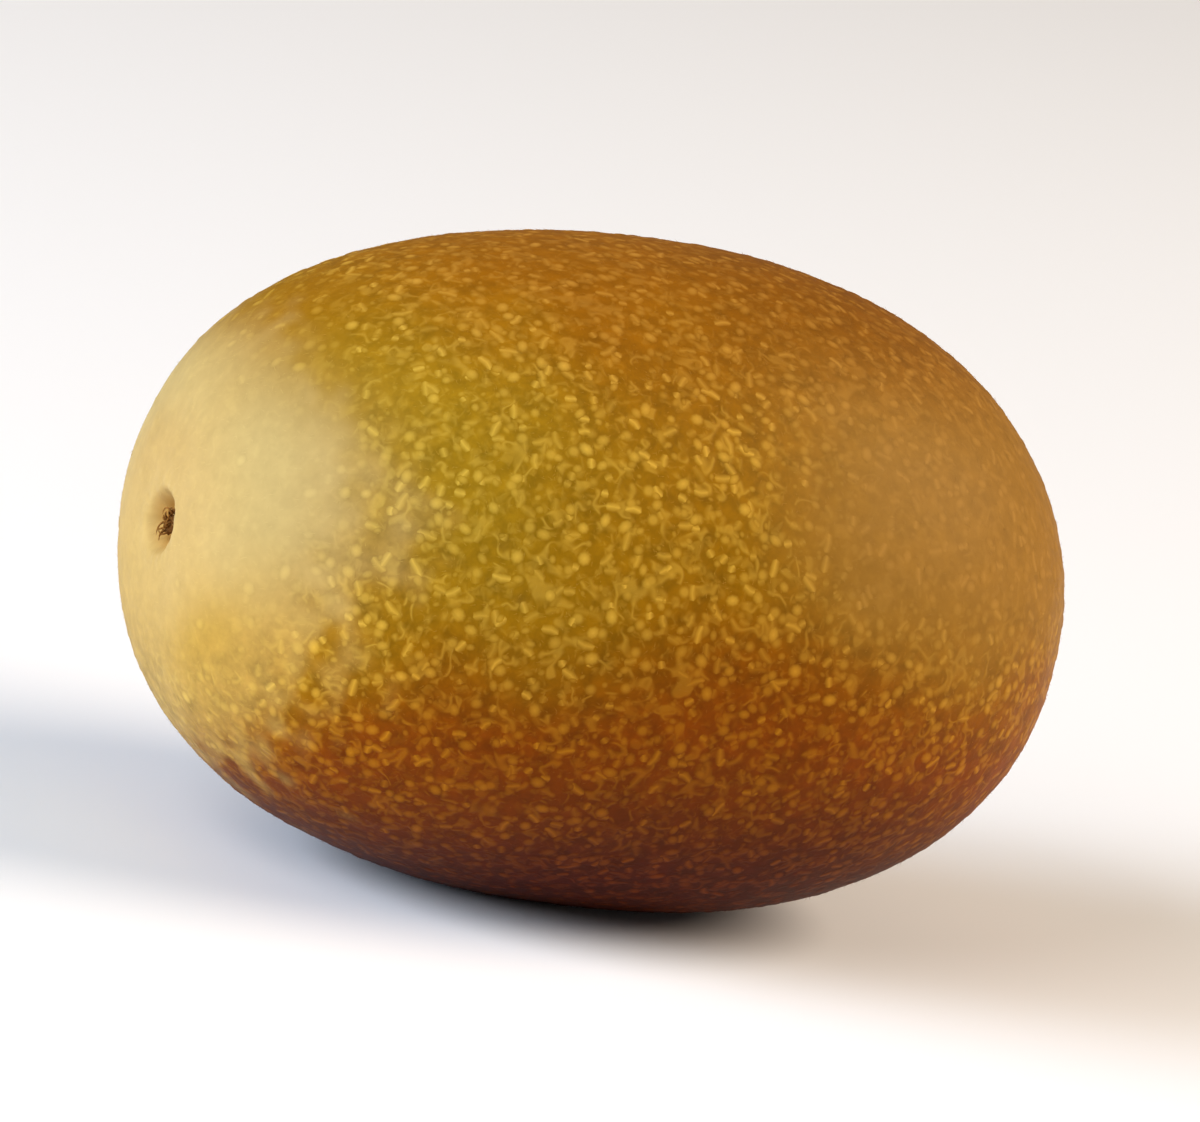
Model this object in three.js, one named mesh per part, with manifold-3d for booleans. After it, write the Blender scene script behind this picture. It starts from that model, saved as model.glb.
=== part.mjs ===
// A golden kiwi fruit, whole and as picked, lying on its side on the small flat spot that it rests on.
//
// The fruit's axis is level and runs from the blossom end, at -X, to the stem end, at +X. Its outline
// is a superellipse on each side of the thickest place, which lies nearer the stem end, and its section
// is slightly wider than it is high. The blossom end has a shallow dimple with a small pit, in which
// the withered styles of the flower are left. The stem end has a low puckered rim round a recess, in
// which the corky scar of the stalk sits.
//
// Units are millimetres, with +Z up and the origin on the surface that the fruit lies on, below the
// middle of its box.

import * as THREE from "three";
import { mergeVertices } from "three/addons/utils/BufferGeometryUtils.js";
import Module from "manifold-3d";

// The whole fruit
const LENGTH = 72;
const WIDTH = 53.2;
const HEIGHT = 50.2;
const GIRTH_AT = 0.542; // share of the length, from the blossom end, where the fruit is thickest
const FLAT_SPOT_DEPTH = 0.6; // how much of the round is missing where the fruit rests

// Each end's superellipse: |along / reach| ^ alongPower + share ^ sharePower = 1, where share is the
// radius as a share of the greatest one.
const BLOSSOM_END = { side: -1, reach: LENGTH * GIRTH_AT, alongPower: 2.31, sharePower: 2.64 };
const STEM_END = { side: 1, reach: LENGTH * (1 - GIRTH_AT), alongPower: 2.16, sharePower: 2.3 };

// The fruit's uneven growth, as shares of its radius: waves round it, and a swelling that winds
// along it by one radian in so many millimetres
const RIBS = [
  { waves: 3, share: 0.0045, turned: 0.9 },
  { waves: 5, share: 0.003, turned: -0.4 },
];
const SWELL = { waves: 2, share: 0.004, turned: 0.5, winding: 11 };

// The blossom end's dimple and pit
const DIMPLE_DEPTH = 0.5;
const DIMPLE_RADIUS = 4.5;
const PIT_DEPTH = 1.35;
const PIT_RADIUS = 1.95; // at the middle of its sloping wall
const PIT_WALL = 0.4; // half the width of that wall, seen along the axis
const PIT_LIP_HEIGHT = 0.14;
const PIT_LIP_RADIUS = 2.75;
const PIT_LIP_WIDTH = 0.6;

// The stem end's rim and recess
const SEPALS = 5; // each left a pucker in the rim and a lobe on the scar
const SEPALS_TURNED = 0.6; // radians
const RIM_HEIGHT = 0.5;
const RIM_RADIUS = 6.1;
const RIM_WIDTH = 0.75;
const PUCKERS = [
  { waves: SEPALS, share: 0.3, turned: SEPALS_TURNED },
  { waves: 13, share: 0.15, turned: 0 },
];
const RECESS_DEPTH = 1.75; // below the fruit's end
const RECESS_RADIUS = 5.25;
const RECESS_WALL = 0.2;

// The corky scar, with its heights measured from the fruit's end
const SCAR_RADIUS = 4.65;
const SCAR_TOP = -0.2;
const SCAR_UNDERSIDE = -1.4;
const SCAR_EDGE = 0.35; // how far its rounded edge reaches in and down
const SCAR_LOBES = [{ waves: SEPALS, share: 0.04, turned: SEPALS_TURNED }];
const SCAR_RIDGES = [{ waves: 9, share: 0.07, turned: 0 }];
const SCAR_RIDGE_TWIST = 0.4; // radians to the millimetre outwards
const SCAR_PIT_RADIUS = 1.75;
const SCAR_PIT_DEPTH = 0.85;
const SCAR_PIT_LIP = 0.12; // how far the pit's lip stands up

// The withered styles: a small tuft, in an inner and an outer ring on a thin disc
const TUFT_RADIUS = 0.95;
const TUFT_BASE = 0.45; // the disc's thickness
const TUFT_GAP = 0.3; // between the disc and the pit's floor
const STYLES = 11;
const STYLES_TO_AN_INNER_ONE = 3;
const INNER_STYLE = { out: 0.2, length: 0.55, lean: 0.1 };
const OUTER_STYLE = { out: 0.6, length: 0.42, lean: 0.3 };
const STYLE_VARIES = 0.15; // in length, as a share of it
const STYLE_SUNK = 0.15; // how deep each root is sunk in the disc
const STYLE_ROOT = 0.24; // radius
const STYLE_TIP = 0.1; // radius
const GOLDEN_ANGLE = THREE.MathUtils.degToRad(137.5);

// How finely the surfaces are divided. Each end's rings are radii, from its pole outwards.
const BLOSSOM_RINGS = [
  ...[0, 0.8, 1.4], // the pit's floor
  ...[1.7, 1.95, 2.2], // its wall
  ...[2.45, 2.8, 3.3], // its lip
  ...[4.1, 5.2, 6.6], // the dimple
];
const STEM_RINGS = [
  ...[0, 2.5, 5.0], // the recess's floor
  ...[5.12, 5.25, 5.38], // its wall
  ...[5.55, 5.85, 6.15, 6.5, 6.9], // the rim
  ...[7.5, 8.5, 9.8], // the shoulder below the rim
];
const GIRTH_STEPS = 16; // from an end's last ring to the thickest place
const ROUND_SEGMENTS = 75;
const SCAR_SEGMENTS = 45;
const SCAR_CURVE_STEPS = 3;
const DISC_SEGMENTS = 20;
const STYLE_SIDES = 5;

const SKIN = new THREE.MeshStandardMaterial({ color: 0xb08a3c, roughness: 0.55, metalness: 0 });
const CORK = new THREE.MeshStandardMaterial({ color: 0x9a6a3e, roughness: 0.85, metalness: 0 });
const WITHERED = new THREE.MeshStandardMaterial({ color: 0x4a2c14, roughness: 0.9, metalness: 0 });

// A hump of height 1 at 0 that fades away within about 2 on each side.
function hump(t) {
  return Math.exp(-t * t);
}

// Rises smoothly from 0 at low to 1 at high.
function rise(low, high, value) {
  return THREE.MathUtils.smoothstep(value, low, high);
}

// The sum of these waves at this angle round the axis.
function waved(waves, turn) {
  return waves.reduce((sum, wave) => sum + wave.share * Math.cos(wave.waves * turn + wave.turned), 0);
}

// The angle round the X axis of this vertex, with 0 on the axis itself.
function turnOf(y, z) {
  return y === 0 && z === 0 ? 0 : Math.atan2(z, y);
}

// How far an end's plain surface lies from the thickest place, at a radius share from 0 to 1.
function alongAt(end, share) {
  return end.reach * (1 - share ** end.sharePower) ** (1 / end.alongPower);
}

// The blossom end's surface at this distance from the axis.
function blossomAlong(plain, radius) {
  const dimple = DIMPLE_DEPTH * hump(radius / DIMPLE_RADIUS);
  const pit = PIT_DEPTH * (1 - rise(PIT_RADIUS - PIT_WALL, PIT_RADIUS + PIT_WALL, radius));
  const lip = PIT_LIP_HEIGHT * hump((radius - PIT_LIP_RADIUS) / PIT_LIP_WIDTH);
  return plain - dimple - pit + lip;
}

// The stem end's surface at this distance from the axis and angle round it: a puckered rim that
// drops into a recess with a flat floor.
function stemAlong(plain, radius, turn) {
  const rim = RIM_HEIGHT * (1 + waved(PUCKERS, turn)) * hump((radius - RIM_RADIUS) / RIM_WIDTH);
  const outside = rise(RECESS_RADIUS - RECESS_WALL, RECESS_RADIUS + RECESS_WALL, radius);
  return THREE.MathUtils.lerp(STEM_END.reach - RECESS_DEPTH, plain + rim, outside);
}

// What the fruit's uneven growth makes of its radius; the ends are left even.
function unevenness(share, turn, along) {
  const winding = SWELL.waves * turn + along / SWELL.winding + SWELL.turned;
  return 1 + share * share * (waved(RIBS, turn) + SWELL.share * Math.sin(winding));
}

// One end's outline, from its pole to just short of the thickest place, as points of the radius
// share and the place along the axis. Past the rings its steps are even in the superellipse's angle.
function halfOutline(end, rings) {
  const shares = rings.map((radius) => radius / (HEIGHT / 2));
  const lastAngle = Math.asin(shares.at(-1) ** (end.sharePower / 2));
  for (let i = 1; i < GIRTH_STEPS; i++) {
    const angle = THREE.MathUtils.lerp(lastAngle, Math.PI / 2, i / GIRTH_STEPS);
    shares.push(Math.sin(angle) ** (2 / end.sharePower));
  }
  return shares.map((share) => new THREE.Vector2(share, end.side * alongAt(end, share)));
}

// Presses the round flat where the fruit meets the surface below it.
function pressFlatSpot(position) {
  let lowest = 0;
  for (let i = 0; i < position.count; i++) {
    lowest = Math.min(lowest, position.getZ(i));
  }
  const flat = lowest + FLAT_SPOT_DEPTH;
  for (let i = 0; i < position.count; i++) {
    position.setZ(i, Math.max(flat, position.getZ(i)));
  }
}

// The fruit: its outline turned round the axis, then widened, swollen and given its two ends.
function makeFruit() {
  const girth = new THREE.Vector2(1, 0);
  const blossomHalf = halfOutline(BLOSSOM_END, BLOSSOM_RINGS);
  const stemHalf = halfOutline(STEM_END, STEM_RINGS).reverse();
  const geometry = new THREE.LatheGeometry([...blossomHalf, girth, ...stemHalf], ROUND_SEGMENTS);
  geometry.rotateZ(-Math.PI / 2);
  const position = geometry.getAttribute("position");
  for (let i = 0; i < position.count; i++) {
    const plain = position.getX(i);
    const y = position.getY(i);
    const z = position.getZ(i);
    const share = Math.hypot(y, z);
    const turn = turnOf(y, z);
    const radius = (share * HEIGHT) / 2;
    const along = plain < 0 ? -blossomAlong(-plain, radius) : stemAlong(plain, radius, turn);
    const grown = unevenness(share, turn, plain);
    position.setXYZ(i, along, (y * grown * WIDTH) / 2, (z * grown * HEIGHT) / 2);
  }
  pressFlatSpot(position);
  geometry.computeVertexNormals();
  const mesh = new THREE.Mesh(geometry, SKIN);
  mesh.name = "fruit";
  return mesh;
}

// The corky scar of the stalk: a lobed, ridged disc with rounded edges, and a lipped pit in its
// middle. Its profile runs from the axis below to the axis above.
function makeStemScar() {
  const profile = new THREE.Path();
  const inEdge = SCAR_RADIUS - SCAR_EDGE;
  const pitFloor = SCAR_TOP - SCAR_PIT_DEPTH;
  const lip = SCAR_TOP + SCAR_PIT_LIP;
  profile.moveTo(0, SCAR_UNDERSIDE);
  profile.lineTo(inEdge, SCAR_UNDERSIDE);
  profile.quadraticCurveTo(SCAR_RADIUS, SCAR_UNDERSIDE, SCAR_RADIUS, SCAR_UNDERSIDE + SCAR_EDGE);
  profile.lineTo(SCAR_RADIUS, SCAR_TOP - SCAR_EDGE);
  profile.quadraticCurveTo(SCAR_RADIUS, SCAR_TOP, inEdge, SCAR_TOP);
  profile.bezierCurveTo(inEdge / 2, SCAR_TOP, SCAR_PIT_RADIUS + SCAR_EDGE, lip, SCAR_PIT_RADIUS, lip);
  profile.quadraticCurveTo(SCAR_PIT_RADIUS - SCAR_EDGE, lip, SCAR_PIT_RADIUS / 2, pitFloor);
  profile.lineTo(0, pitFloor);
  const geometry = new THREE.LatheGeometry(profile.getPoints(SCAR_CURVE_STEPS), SCAR_SEGMENTS);
  geometry.rotateZ(-Math.PI / 2);
  const position = geometry.getAttribute("position");
  for (let i = 0; i < position.count; i++) {
    const height = position.getX(i);
    const y = position.getY(i);
    const z = position.getZ(i);
    const radius = Math.hypot(y, z);
    const turn = turnOf(y, z);
    const outer = rise(SCAR_PIT_RADIUS, SCAR_RADIUS, radius);
    const upper = rise(SCAR_UNDERSIDE + SCAR_EDGE, SCAR_TOP - SCAR_EDGE, height);
    const lobed = 1 + outer * waved(SCAR_LOBES, turn);
    const ridges = upper * outer * waved(SCAR_RIDGES, turn + SCAR_RIDGE_TWIST * radius);
    position.setXYZ(i, height + ridges, y * lobed, z * lobed);
  }
  geometry.computeVertexNormals();
  const mesh = new THREE.Mesh(geometry, CORK);
  mesh.name = "stem_scar";
  mesh.position.x = STEM_END.reach;
  return mesh;
}

const wasm = await Module();
wasm.setup();

// A closed geometry as a solid.
function solidOf(geometry) {
  const plain = geometry.clone();
  plain.deleteAttribute("normal");
  plain.deleteAttribute("uv");
  const merged = mergeVertices(plain);
  return new wasm.Manifold(
    new wasm.Mesh({
      numProp: 3,
      vertProperties: merged.getAttribute("position").array,
      triVerts: new Uint32Array(merged.index.array),
    }),
  );
}

// A solid as a geometry.
function geometryOf(solid) {
  const mesh = solid.getMesh();
  const geometry = new THREE.BufferGeometry();
  geometry.setAttribute("position", new THREE.BufferAttribute(mesh.vertProperties, 3));
  geometry.setIndex(new THREE.BufferAttribute(mesh.triVerts, 1));
  geometry.computeVertexNormals();
  return geometry;
}

// One withered style: a blunt bristle that leans outwards, with its root sunk in the disc.
function makeStyle(number) {
  const { out, length, lean } = number % STYLES_TO_AN_INNER_ONE === 0 ? INNER_STYLE : OUTER_STYLE;
  const grown = length * (1 + STYLE_VARIES * Math.sin(number * GOLDEN_ANGLE));
  const bristle = new THREE.CylinderGeometry(STYLE_TIP, STYLE_ROOT, grown + STYLE_SUNK, STYLE_SIDES);
  bristle.translate(0, (grown + STYLE_SUNK) / 2, 0);
  bristle.rotateZ(-lean);
  bristle.translate(out, TUFT_BASE - STYLE_SUNK, 0);
  bristle.rotateY(number * GOLDEN_ANGLE);
  return bristle;
}

// The withered styles, rooted in their disc, which stands in the blossom end's pit.
function makeWitheredStyles() {
  const disc = new THREE.CylinderGeometry(TUFT_RADIUS, TUFT_RADIUS, TUFT_BASE, DISC_SEGMENTS);
  disc.translate(0, TUFT_BASE / 2, 0);
  let tuft = solidOf(disc);
  for (let number = 0; number < STYLES; number++) {
    tuft = tuft.add(solidOf(makeStyle(number)));
  }
  const mesh = new THREE.Mesh(geometryOf(tuft), WITHERED);
  mesh.name = "withered_styles";
  mesh.rotation.z = Math.PI / 2;
  mesh.position.x = -(BLOSSOM_END.reach - DIMPLE_DEPTH - PIT_DEPTH + TUFT_GAP);
  return mesh;
}

// Stands the fruit on its flat spot, with the origin below the middle of its box.
function standOnFlatSpot(...meshes) {
  const standing = new THREE.Group();
  standing.add(...meshes);
  const box = new THREE.Box3().setFromObject(standing, true);
  const middle = box.getCenter(new THREE.Vector3());
  standing.position.set(-middle.x, -middle.y, -box.min.z);
  return standing;
}

export default standOnFlatSpot(makeFruit(), makeStemScar(), makeWitheredStyles());
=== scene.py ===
import itertools
import math

import bpy
import numpy as np
from mathutils import Matrix, Vector


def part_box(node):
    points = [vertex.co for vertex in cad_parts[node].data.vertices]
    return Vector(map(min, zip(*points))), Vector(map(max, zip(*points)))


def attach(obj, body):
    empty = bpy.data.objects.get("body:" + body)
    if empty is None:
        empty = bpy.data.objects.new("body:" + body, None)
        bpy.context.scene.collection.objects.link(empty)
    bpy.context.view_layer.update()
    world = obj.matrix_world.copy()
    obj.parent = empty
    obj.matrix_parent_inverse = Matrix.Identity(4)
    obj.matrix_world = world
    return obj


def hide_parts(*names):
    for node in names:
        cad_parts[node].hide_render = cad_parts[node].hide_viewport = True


# A golden kiwi fruit, whole and as picked, lying on its side. The sections follow the fruit: its skin
# over the flesh, the specks, scurf and down that grow on the skin, the corky scar of its stalk and the
# withered styles of its flower, and then the floor, the lights and the camera. Sizes are millimetres
# where nothing else is said, and MM turns them to metres. The fruit's axis runs along X, from the
# blossom end at -X to the stem end at +X.

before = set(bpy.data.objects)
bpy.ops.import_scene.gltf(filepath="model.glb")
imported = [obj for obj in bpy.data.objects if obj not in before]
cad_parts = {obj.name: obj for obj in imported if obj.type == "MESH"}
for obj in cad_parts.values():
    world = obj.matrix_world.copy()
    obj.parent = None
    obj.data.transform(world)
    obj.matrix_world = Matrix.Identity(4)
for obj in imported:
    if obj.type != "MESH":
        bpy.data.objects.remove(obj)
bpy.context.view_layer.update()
MM = 0.001


# ---------------------------------------------------------------------------------------------
# The fruit
#
# A berry that swelled from the ovary of a flower: golden flesh inside a thin, tough, leathery skin,
# all of one piece. It is widest nearer the stalk. The blossom end has a little navel, and the stem
# end a puckered rim round the place where the stalk was snapped off.

LENGTH = 72.0
WIDTH = 53.2
HEIGHT = 50.2
GIRTH_AT = 0.542  # share of the length, from the blossom end, where the fruit is thickest
FLAT_SPOT_BLEND = 0.12  # half the height over which the flat spot runs into the round
BLOSSOM = {"side": -1, "reach": LENGTH * GIRTH_AT, "along_power": 2.31, "share_power": 2.64}
STEM = {"side": 1, "reach": LENGTH * (1 - GIRTH_AT), "along_power": 2.16, "share_power": 2.3}

RIBS = ((3, 0.0045, 0.9), (5, 0.003, -0.4))  # waves round the fruit, share of its radius, turned
SWELL_WAVES, SWELL_SHARE, SWELL_TURNED, SWELL_WINDING = 2, 0.004, 0.5, 11.0

DIMPLE_DEPTH, DIMPLE_RADIUS = 0.5, 4.5
PIT_DEPTH, PIT_RADIUS, PIT_WALL = 1.35, 1.8, 0.9
PIT_OUT_OF_ROUND = ((2, 0.09, 1.9), (3, 0.05, 0.4), (7, 0.03, 2.0))
PIT_LIP_HEIGHT, PIT_LIP_RADIUS, PIT_LIP_WIDTH = 0.08, 2.9, 0.7
PIT_FOLDS, PIT_FOLD_HEIGHT = 17, 0.02

SEPALS, SEPALS_TURNED = 5, 0.6
RIM_HEIGHT, RIM_RADIUS, RIM_WIDTH = 0.5, 6.1, 0.75
PUCKERS = ((SEPALS, 0.3, SEPALS_TURNED), (13, 0.15, 0.0))
RIM_FOLDS, RIM_FOLD_HEIGHT = 31, 0.03
RECESS_DEPTH, RECESS_RADIUS, RECESS_WALL = 1.75, 5.25, 0.2
RECESS_OUT_OF_ROUND = ((2, 0.03, 0.8), (SEPALS, 0.02, 2.2), (7, 0.015, 2.0), (12, 0.008, 0.3))

# The skin's own fine unevenness: how far apart its bumps are, how high they stand, and a seed each
BUMPS = ((7.0, 0.07, 11), (3.0, 0.035, 12), (1.5, 0.018, 13))
LENGTHWAYS = 0.7  # how much a length along the axis counts where the bumps push outwards

SKIN_ROWS, SKIN_AROUND = 280, 350


def hump(t):
    """A hump of height 1 at 0 that fades away within about 2 on each side: e^(-t^2)."""
    return np.exp(-np.square(t))


def rise(low, high, value):
    """Rises smoothly from 0 at low to 1 at high: 3t^2 - 2t^3 of the share t of the way between them."""
    t = np.clip((value - low) / (high - low), 0, 1)
    return t * t * (3 - 2 * t)


def waved(waves, turn):
    """The sum of some waves round the axis, each share * cos(count * turn + turned)."""
    return sum(share * np.cos(count * turn + turned) for count, share, turned in waves)


def lattice_noise(points, seed):
    """Smooth noise from -1 to 1. Each corner of a unit lattice has a random value, and a point gets
    the mean of its cell's eight corners, weighted by the smooth rise along each axis."""
    corner = np.floor(points).astype(np.int64)
    part = points - corner
    part = part * part * (3 - 2 * part)
    total = np.zeros(points.shape[:-1])
    for step in itertools.product((0, 1), repeat=3):
        key = (corner + np.array(step)) @ np.array([73856093, 19349663, 83492791]) + seed * 40503
        key = (key ^ (key >> 13)) * 1274126177
        value = ((key ^ (key >> 16)) & 0xFFFF) / 0x7FFF - 1
        total += value * np.prod(np.where(step, part, 1 - part), axis=-1)
    return total


def outline_table(steps=4000):
    """The plain outline from the blossom pole to the stem pole, as the way along the skin, the radius
    as a share of the greatest, and the place along the axis. Each end is a superellipse, with
    share = sin(a)^(2/q) and along = reach * cos(a)^(2/p), and the way adds up its steps."""
    angle = np.linspace(0, math.pi / 2, steps)
    shares = [np.sin(angle) ** (2 / end["share_power"]) for end in (BLOSSOM, STEM)]
    alongs = [
        end["side"] * end["reach"] * np.cos(angle) ** (2 / end["along_power"])
        for end in (BLOSSOM, STEM)
    ]
    share = np.concatenate([shares[0], shares[1][-2::-1]])
    along = np.concatenate([alongs[0], alongs[1][-2::-1]])
    steps_on = np.hypot(np.diff(share) * HEIGHT / 2, np.diff(along))
    return np.concatenate([[0], np.cumsum(steps_on)]), share, along


outline_way, outline_share, outline_along = outline_table()
WHOLE_WAY = outline_way[-1]


def blossom_along(plain, radius, turn):
    """The blossom end's surface: the plain one, less a wide dimple and a pit with a rounded wall that
    isn't quite round, plus a low lip with folds that run into the pit."""
    pit_radius = PIT_RADIUS * (1 + waved(PIT_OUT_OF_ROUND, turn))
    dimple = DIMPLE_DEPTH * hump(radius / DIMPLE_RADIUS)
    pit = PIT_DEPTH * (1 - rise(pit_radius - PIT_WALL, pit_radius + PIT_WALL, radius))
    lip = PIT_LIP_HEIGHT * hump((radius - PIT_LIP_RADIUS) / PIT_LIP_WIDTH)
    folded = np.cos(PIT_FOLDS * turn + 1.5 * np.sin(3 * turn) + 0.5 * radius)
    folds = PIT_FOLD_HEIGHT * folded * hump((radius - pit_radius - PIT_WALL) / PIT_LIP_WIDTH)
    return plain - dimple - pit + lip + folds


def recess_radius(turn):
    """The radius of the stem end's recess, which isn't quite round: its mean times 1 plus waves."""
    return RECESS_RADIUS * (1 + waved(RECESS_OUT_OF_ROUND, turn))


def stem_along(plain, radius, turn):
    """The stem end's surface: the plain one plus a rim that puckers at each sepal and is finely
    folded, dropping at the recess's wall to the recess's floor."""
    pucker = 1 + waved(PUCKERS, turn)
    folded = np.cos(RIM_FOLDS * turn + 2 * np.sin(4 * turn) + 1.2 * radius)
    rim = RIM_HEIGHT * pucker * hump((radius - RIM_RADIUS) / RIM_WIDTH)
    folds = RIM_FOLD_HEIGHT * folded * hump((radius - RIM_RADIUS) / (1.6 * RIM_WIDTH))
    outside = rise(-RECESS_WALL, RECESS_WALL, radius - recess_radius(turn))
    floor = STEM["reach"] - RECESS_DEPTH
    return floor + (plain + rim + folds - floor) * outside


def plain_skin(way, turn):
    """The skin about the fruit's own axis, with 0 at the thickest place. The outline is turned round
    the axis, then widened and swollen by slow waves that fade towards the ends."""
    share = np.interp(way, outline_way, outline_share)
    plain = np.interp(way, outline_way, outline_along)
    radius = share * HEIGHT / 2
    blossom = -blossom_along(-plain, radius, turn)
    stem = stem_along(plain, radius, turn)
    winding = SWELL_WAVES * turn + plain / SWELL_WINDING + SWELL_TURNED
    grown = 1 + share * share * (waved(RIBS, turn) + SWELL_SHARE * np.sin(winding))
    y = share * np.cos(turn) * grown * WIDTH / 2
    z = share * np.sin(turn) * grown * HEIGHT / 2
    return np.stack([np.where(plain < 0, blossom, stem), y, z], axis=-1)


# The fruit lies where its solid does: its axis is as far below the solid's top as the outline is high
# there, and its thickest place as far from the solid's blossom end as the outline reaches.
fruit_low, fruit_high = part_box("fruit")
trial = plain_skin(*np.meshgrid(np.linspace(0, WHOLE_WAY, 900), np.linspace(-math.pi, math.pi, 361)))
AXIS_PLACE = np.array([
    fruit_low.x / MM - trial[..., 0].min(),
    (fruit_low.y + fruit_high.y) / 2 / MM - (trial[..., 1].min() + trial[..., 1].max()) / 2,
    fruit_high.z / MM - trial[..., 2].max(),
])


def skin(way, turn):
    """The skin in the object's frame: the plain skin pushed in and out by its fine bumps, along the
    line from the middle of the fruit, and pressed flat where it meets the floor. What lies within
    the blend of the floor bends towards it, as (height + blend)^2 / (4 * blend)."""
    plain = plain_skin(way, turn)
    bumps = sum(height * lattice_noise(plain / apart, seed) for apart, height, seed in BUMPS)
    outwards = plain / np.linalg.norm(plain * [LENGTHWAYS, 1, 1], axis=-1, keepdims=True)
    placed = plain + outwards * bumps[..., None] + AXIS_PLACE
    above = placed[..., 2]
    bent = np.square(np.maximum(0, above + FLAT_SPOT_BLEND)) / (4 * FLAT_SPOT_BLEND)
    placed[..., 2] = np.where(above < FLAT_SPOT_BLEND, bent, above)
    return placed


def closed_rows(rows, around):
    """The triangles of a closed surface of two poles and the rows of points between them: a fan at
    each pole, and two triangles to each cell. Point 0 is the first pole, and the last the other."""
    first = 1 + np.arange(rows - 1)[:, None] * around + np.arange(around)
    beside = 1 + np.arange(rows - 1)[:, None] * around + (np.arange(around) + 1) % around
    cells = np.stack([
        np.stack([first, beside, beside + around], axis=-1),
        np.stack([first, beside + around, first + around], axis=-1),
    ])
    ring = np.arange(around)
    following = (ring + 1) % around
    last_row = 1 + (rows - 1) * around
    start = np.stack([np.zeros(around, int), 1 + following, 1 + ring], axis=-1)
    pole = np.full(around, 1 + rows * around)
    end = np.stack([last_row + ring, last_row + following, pole], axis=-1)
    return np.concatenate([start, cells.reshape(-1, 3), end])


def skin_zones(points):
    """How far the skin is each of the things named below, from 0 to 1, at these points. Each is a
    smooth rise or hump over a place on the fruit, and slow noise makes its edge wander. Places are
    millimetres from the axis and the thickest place: the blossom end is at -x and the front at -y."""
    x, y, z = np.moveaxis(points - AXIS_PLACE, -1, 0)
    radius = np.hypot(y, z)
    turn = np.arctan2(z, y)
    wander = lattice_noise(points / 13, 21) + 0.5 * lattice_noise(points / 5, 22)
    patchy = lattice_noise(points / 1.7, 23) * rise(35.5, 32, -x)
    close = lattice_noise(points / 1.1, 24)
    front = rise(4, -12, y)
    stem_side = rise(20, 27, x)
    high, level = z + 3 * wander, z + 2 * wander
    past_shoulder = np.maximum(0, -x - 10)

    # Unripe green: a cheek in front, nearer the blossom end, and a fainter one behind
    green_front = hump((x + 25 + 3 * wander) / 10.5) * rise(-6, 9, high)
    green_back = 0.5 * hump((x - 2 + 4 * wander) / 15) * hump((z - 4) / 11)

    # The blossom end, bare, and pale in its own colour and with a painted highlight over it. It reaches
    # less far on the lower side and over the top.
    low = rise(5, -3, level)
    from_body = -x + 4 * wander + 5 * patchy - 1.25 * np.maximum(0, z - 9)
    bare = rise(23 + 4 * low, 43 - 4 * low, from_body)
    bare = bare * (1 - 0.35 * hump((z + 4 + wander) / 4) * rise(11, 15, radius) * front)

    # Its lower half is more golden, mostly in front, and a painted highlight lies as a creamy ring on its
    # upper shoulder
    golden = rise(9, -8, high + 2 * np.maximum(0, -x - 36.5)) * (0.45 + 0.55 * rise(-2, -10, y))
    painted_highlight = hump((radius - 14 + wander) / 6) * rise(24, 35, -x) * rise(-4, 8, high) * rise(18, 8, z)

    # A painted sheen: the front of the half nearer the stem end is paler, and smoother, with fainter
    # flecks. The blossom end is smooth.
    painted_sheen = rise(-7, 8, x + 3 * wander) * rise(-3, 7, level) * rise(25, 15, z) * rise(12, -4, y)
    smooth_end = rise(29, 37, -x + wander + 3 * patchy + 0.25 * z + 0.25 * np.minimum(0, z))

    # Painted shade: the underside darkened, and faintly the top towards the stem end
    underside = rise(-4, -20, level + 0.35 * past_shoulder)
    top = 0.14 * rise(-7, 2, x + 2 * wander) * rise(16, 22, level)
    return {
        "green": front * green_front + (1 - front) * green_back,
        "browned": rise(8, 25, high + 0.15 * x),
        # The lower side: its own reddish brown, darkened further by painted shade
        "reddened_and_painted_shade": rise(6, -8, high + 0.22 * past_shoulder + 0.8 * np.maximum(0, -x - 24)),
        "painted_shade": np.maximum(underside, top),
        "bare": bare,
        "golden": bare * golden,
        "painted_highlight": 0.75 * painted_highlight,
        "painted_sheen": painted_sheen,
        "russet": rise(13, 6.5, radius + 1.4 * wander) * stem_side,
        "crested": hump((radius - RIM_RADIUS - 0.25 * close) / 0.5)
        * stem_side * (0.7 + 0.3 * np.cos(13 * turn)),
        "cracked": rise(0.35, -0.1, radius + 0.2 * close - recess_radius(turn)) * stem_side,
        "hollow": rise(PIT_RADIUS + PIT_WALL, PIT_RADIUS - PIT_WALL, radius) * rise(30, 34, -x),
        # Under the painted sheen the mottling, flecks and relief fade too, as where the skin is smooth
        "smooth": np.maximum(smooth_end, np.maximum(0.75 * painted_sheen, 0.5 * rise(15, 25, z))),
    }


def grown_piece(name, points, triangles, values, ups=None):
    """A new object with these points, in millimetres, and triangles, smooth all over. Each of the
    values, one to a point, goes with it under its name for the material to read. Where ups are given,
    one to a point, light falls on the piece as if it faced that way, as on the skin it lies on."""
    mesh = bpy.data.meshes.new(name)
    mesh.vertices.add(len(points))
    mesh.vertices.foreach_set("co", (points * MM).astype(np.float32).ravel())
    mesh.loops.add(triangles.size)
    mesh.loops.foreach_set("vertex_index", triangles.astype(np.int32).ravel())
    mesh.polygons.add(len(triangles))
    mesh.polygons.foreach_set("loop_start", np.arange(0, triangles.size, 3, dtype=np.int32))
    mesh.polygons.foreach_set("use_smooth", np.ones(len(triangles), bool))
    for value, numbers in values.items():
        mesh.attributes.new(value, "FLOAT", "POINT").data.foreach_set("value", numbers.astype(np.float32))
    mesh.update(calc_edges=True)
    if ups is not None:
        mesh.normals_split_custom_set_from_vertices(ups.reshape(-1, 3))
    piece = bpy.data.objects.new(name, mesh)
    bpy.context.scene.collection.objects.link(piece)
    return piece


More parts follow.
